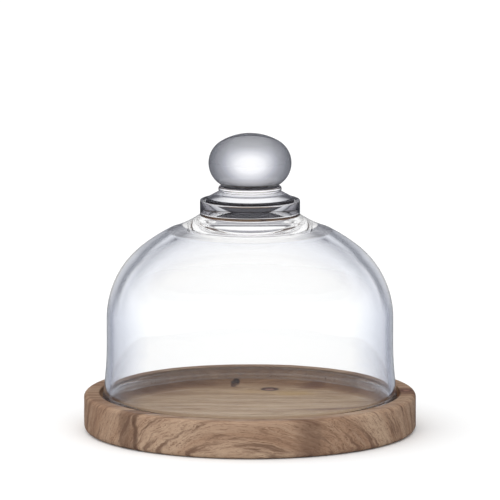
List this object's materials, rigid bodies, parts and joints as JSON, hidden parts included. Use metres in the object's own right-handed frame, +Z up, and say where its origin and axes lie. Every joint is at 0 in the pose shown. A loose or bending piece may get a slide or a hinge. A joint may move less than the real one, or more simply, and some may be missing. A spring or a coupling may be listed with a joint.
{
  "type": "bell jar dome",
  "caption": "Clear glass bell with a solid ball knob, standing in the recess of a round turned wooden tray; the bell lifts straight off.",
  "frame": {"origin": "centre of the tray's flat underside", "axes": "+Z up along the axis that every piece is turned about; X and Y across the tray, with the wood grain along X"},
  "size_m": [0.16, 0.16, 0.1435],
  "materials": {
    "turned_wood": "turned, sanded and lightly oiled acacia-like wood, satin",
    "bell_glass": "clear blown soda-lime glass, fire polished",
    "knob_glass": "clear solid glass, hot worked and fire polished"
  },
  "bodies": {
    "tray": {"wood_tray": "turned_wood"},
    "bell": {"glass_bell": "bell_glass", "knob_collar": "knob_glass", "knob_ball": "knob_glass"}
  },
  "joints": [
    {"name": "bell_lift", "type": "slide", "parent": "tray", "child": "bell", "axis": [0, 0, 1], "range_m": [0, 0.06]}
  ]
}
